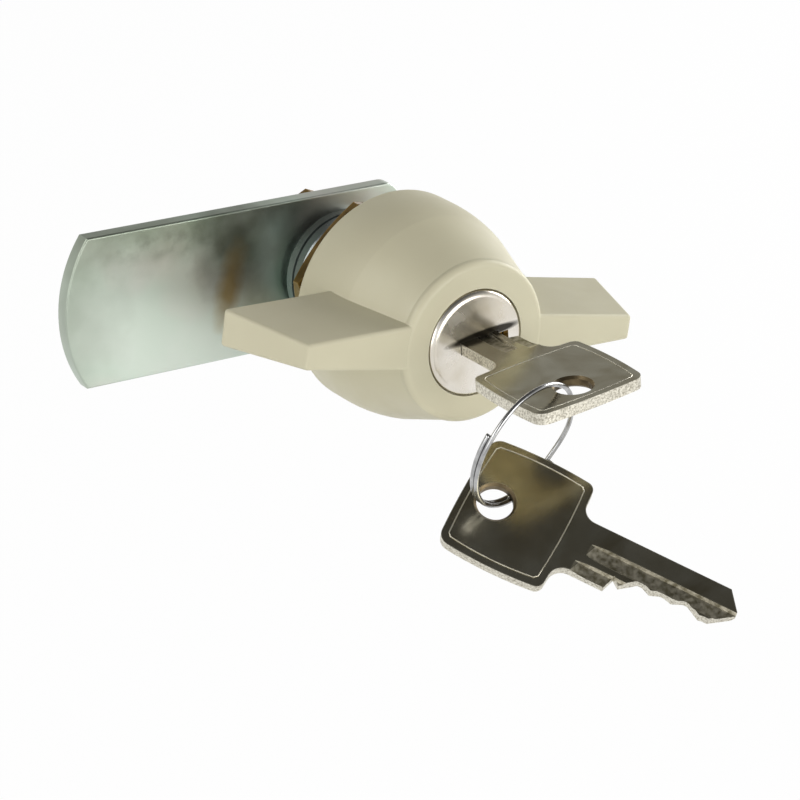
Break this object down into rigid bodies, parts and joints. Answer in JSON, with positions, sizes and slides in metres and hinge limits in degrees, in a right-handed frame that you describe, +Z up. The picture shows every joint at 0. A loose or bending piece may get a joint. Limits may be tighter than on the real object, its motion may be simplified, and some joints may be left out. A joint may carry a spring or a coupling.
{
  "type": "cam lock",
  "caption": "Wing-knob cam lock with a key-operated wafer plug, a threaded barrel with nut, a flat cam held by a rear nut, and two keys on a split ring.",
  "frame": {"origin": "on the lock's axis, in the plane of the outer face of the door panel, which is the back face of the barrel's flange", "axes": "+Y along the axis into the cabinet, the key goes in from -Y, -X along the cam in the latched position, +Z up"},
  "size_m": [0.0938, 0.1078, 0.0533],
  "materials": {
    "zinc_plate": "zinc plated",
    "cam_zinc": "zinc plated, faintly iridescent",
    "gold_plate": "yellow passivated",
    "knob_enamel": "cream powder coat, satin",
    "polished_nickel": "polished nickel",
    "wafer_brass": "stamped",
    "spring_steel": "bright spring wire",
    "key_nickel": "nickel plated, worn"
  },
  "bodies": {
    "barrel": {"threaded_barrel": "zinc_plate", "mounting_nut": "gold_plate"},
    "knob": {"wing_knob": "knob_enamel", "knob_screws": "zinc_plate", "rotor_housing": "zinc_plate", "thrust_washer": "spring_steel", "stop_washer": "zinc_plate", "spacer_washer": "zinc_plate", "cam": "cam_zinc", "cam_nut": "gold_plate"},
    "bolt": {"locking_bolt": "zinc_plate"},
    "plug": {"lock_plug": "polished_nickel", "retaining_wafer": "wafer_brass", "wafer_springs": "spring_steel"},
    "wafer_1": {"wafer_1": "wafer_brass"},
    "wafer_2": {"wafer_2": "wafer_brass"},
    "wafer_3": {"wafer_3": "wafer_brass"},
    "wafer_4": {"wafer_4": "wafer_brass"},
    "key": {"key": "key_nickel"},
    "key_ring": {"key_ring": "spring_steel"},
    "spare_key": {"spare_key": "key_nickel"}
  },
  "joints": [
    {"name": "knob_turn", "type": "hinge", "parent": "barrel", "child": "knob", "pos_m": [0, 0, 0], "axis": [0, 1, 0], "range_deg": [0, 90]},
    {"name": "plug_turn", "type": "hinge", "parent": "knob", "child": "plug", "pos_m": [0, 0, 0], "axis": [0, 1, 0], "range_deg": [0, 90]},
    {"name": "bolt_slide", "type": "slide", "parent": "knob", "child": "bolt", "axis": [-0.213, 0, -0.977], "range_m": [0, 0.00213]},
    {"name": "key_slide", "type": "slide", "parent": "plug", "child": "key", "axis": [0, -1, 0], "range_m": [0, 0.03]},
    {"name": "wafer_1_slide", "type": "slide", "parent": "plug", "child": "wafer_1", "axis": [-0.9921, 0, -0.1253], "range_m": [0, 0.0012]},
    {"name": "wafer_2_slide", "type": "slide", "parent": "plug", "child": "wafer_2", "axis": [-0.9921, 0, -0.1253], "range_m": [0, 0.0012]},
    {"name": "wafer_3_slide", "type": "slide", "parent": "plug", "child": "wafer_3", "axis": [-0.9921, 0, -0.1253], "range_m": [0, 0.0012]},
    {"name": "wafer_4_slide", "type": "slide", "parent": "plug", "child": "wafer_4", "axis": [-0.9921, 0, -0.1253], "range_m": [0, 0.0012]},
    {"name": "ring_swing", "type": "hinge", "parent": "key", "child": "key_ring", "pos_m": [0.00119, -0.05197, 0.00015], "axis": [0.9921, 0, 0.1253], "range_deg": [-25, 15]},
    {"name": "spare_key_swing", "type": "hinge", "parent": "key_ring", "child": "spare_key", "pos_m": [-0.00995, -0.04723, -0.01936], "axis": [-0.9308, -0.2966, 0.2139], "range_deg": [-120, 0]}
  ],
  "couplings": [
    {"joint": "bolt_slide", "follows": "plug_turn", "m_per_rad": 0.0013505},
    {"joint": "wafer_1_slide", "follows": "key_slide", "ratio": 0.04},
    {"joint": "wafer_2_slide", "follows": "key_slide", "ratio": 0.04},
    {"joint": "wafer_3_slide", "follows": "key_slide", "ratio": 0.04},
    {"joint": "wafer_4_slide", "follows": "key_slide", "ratio": 0.04}
  ]
}
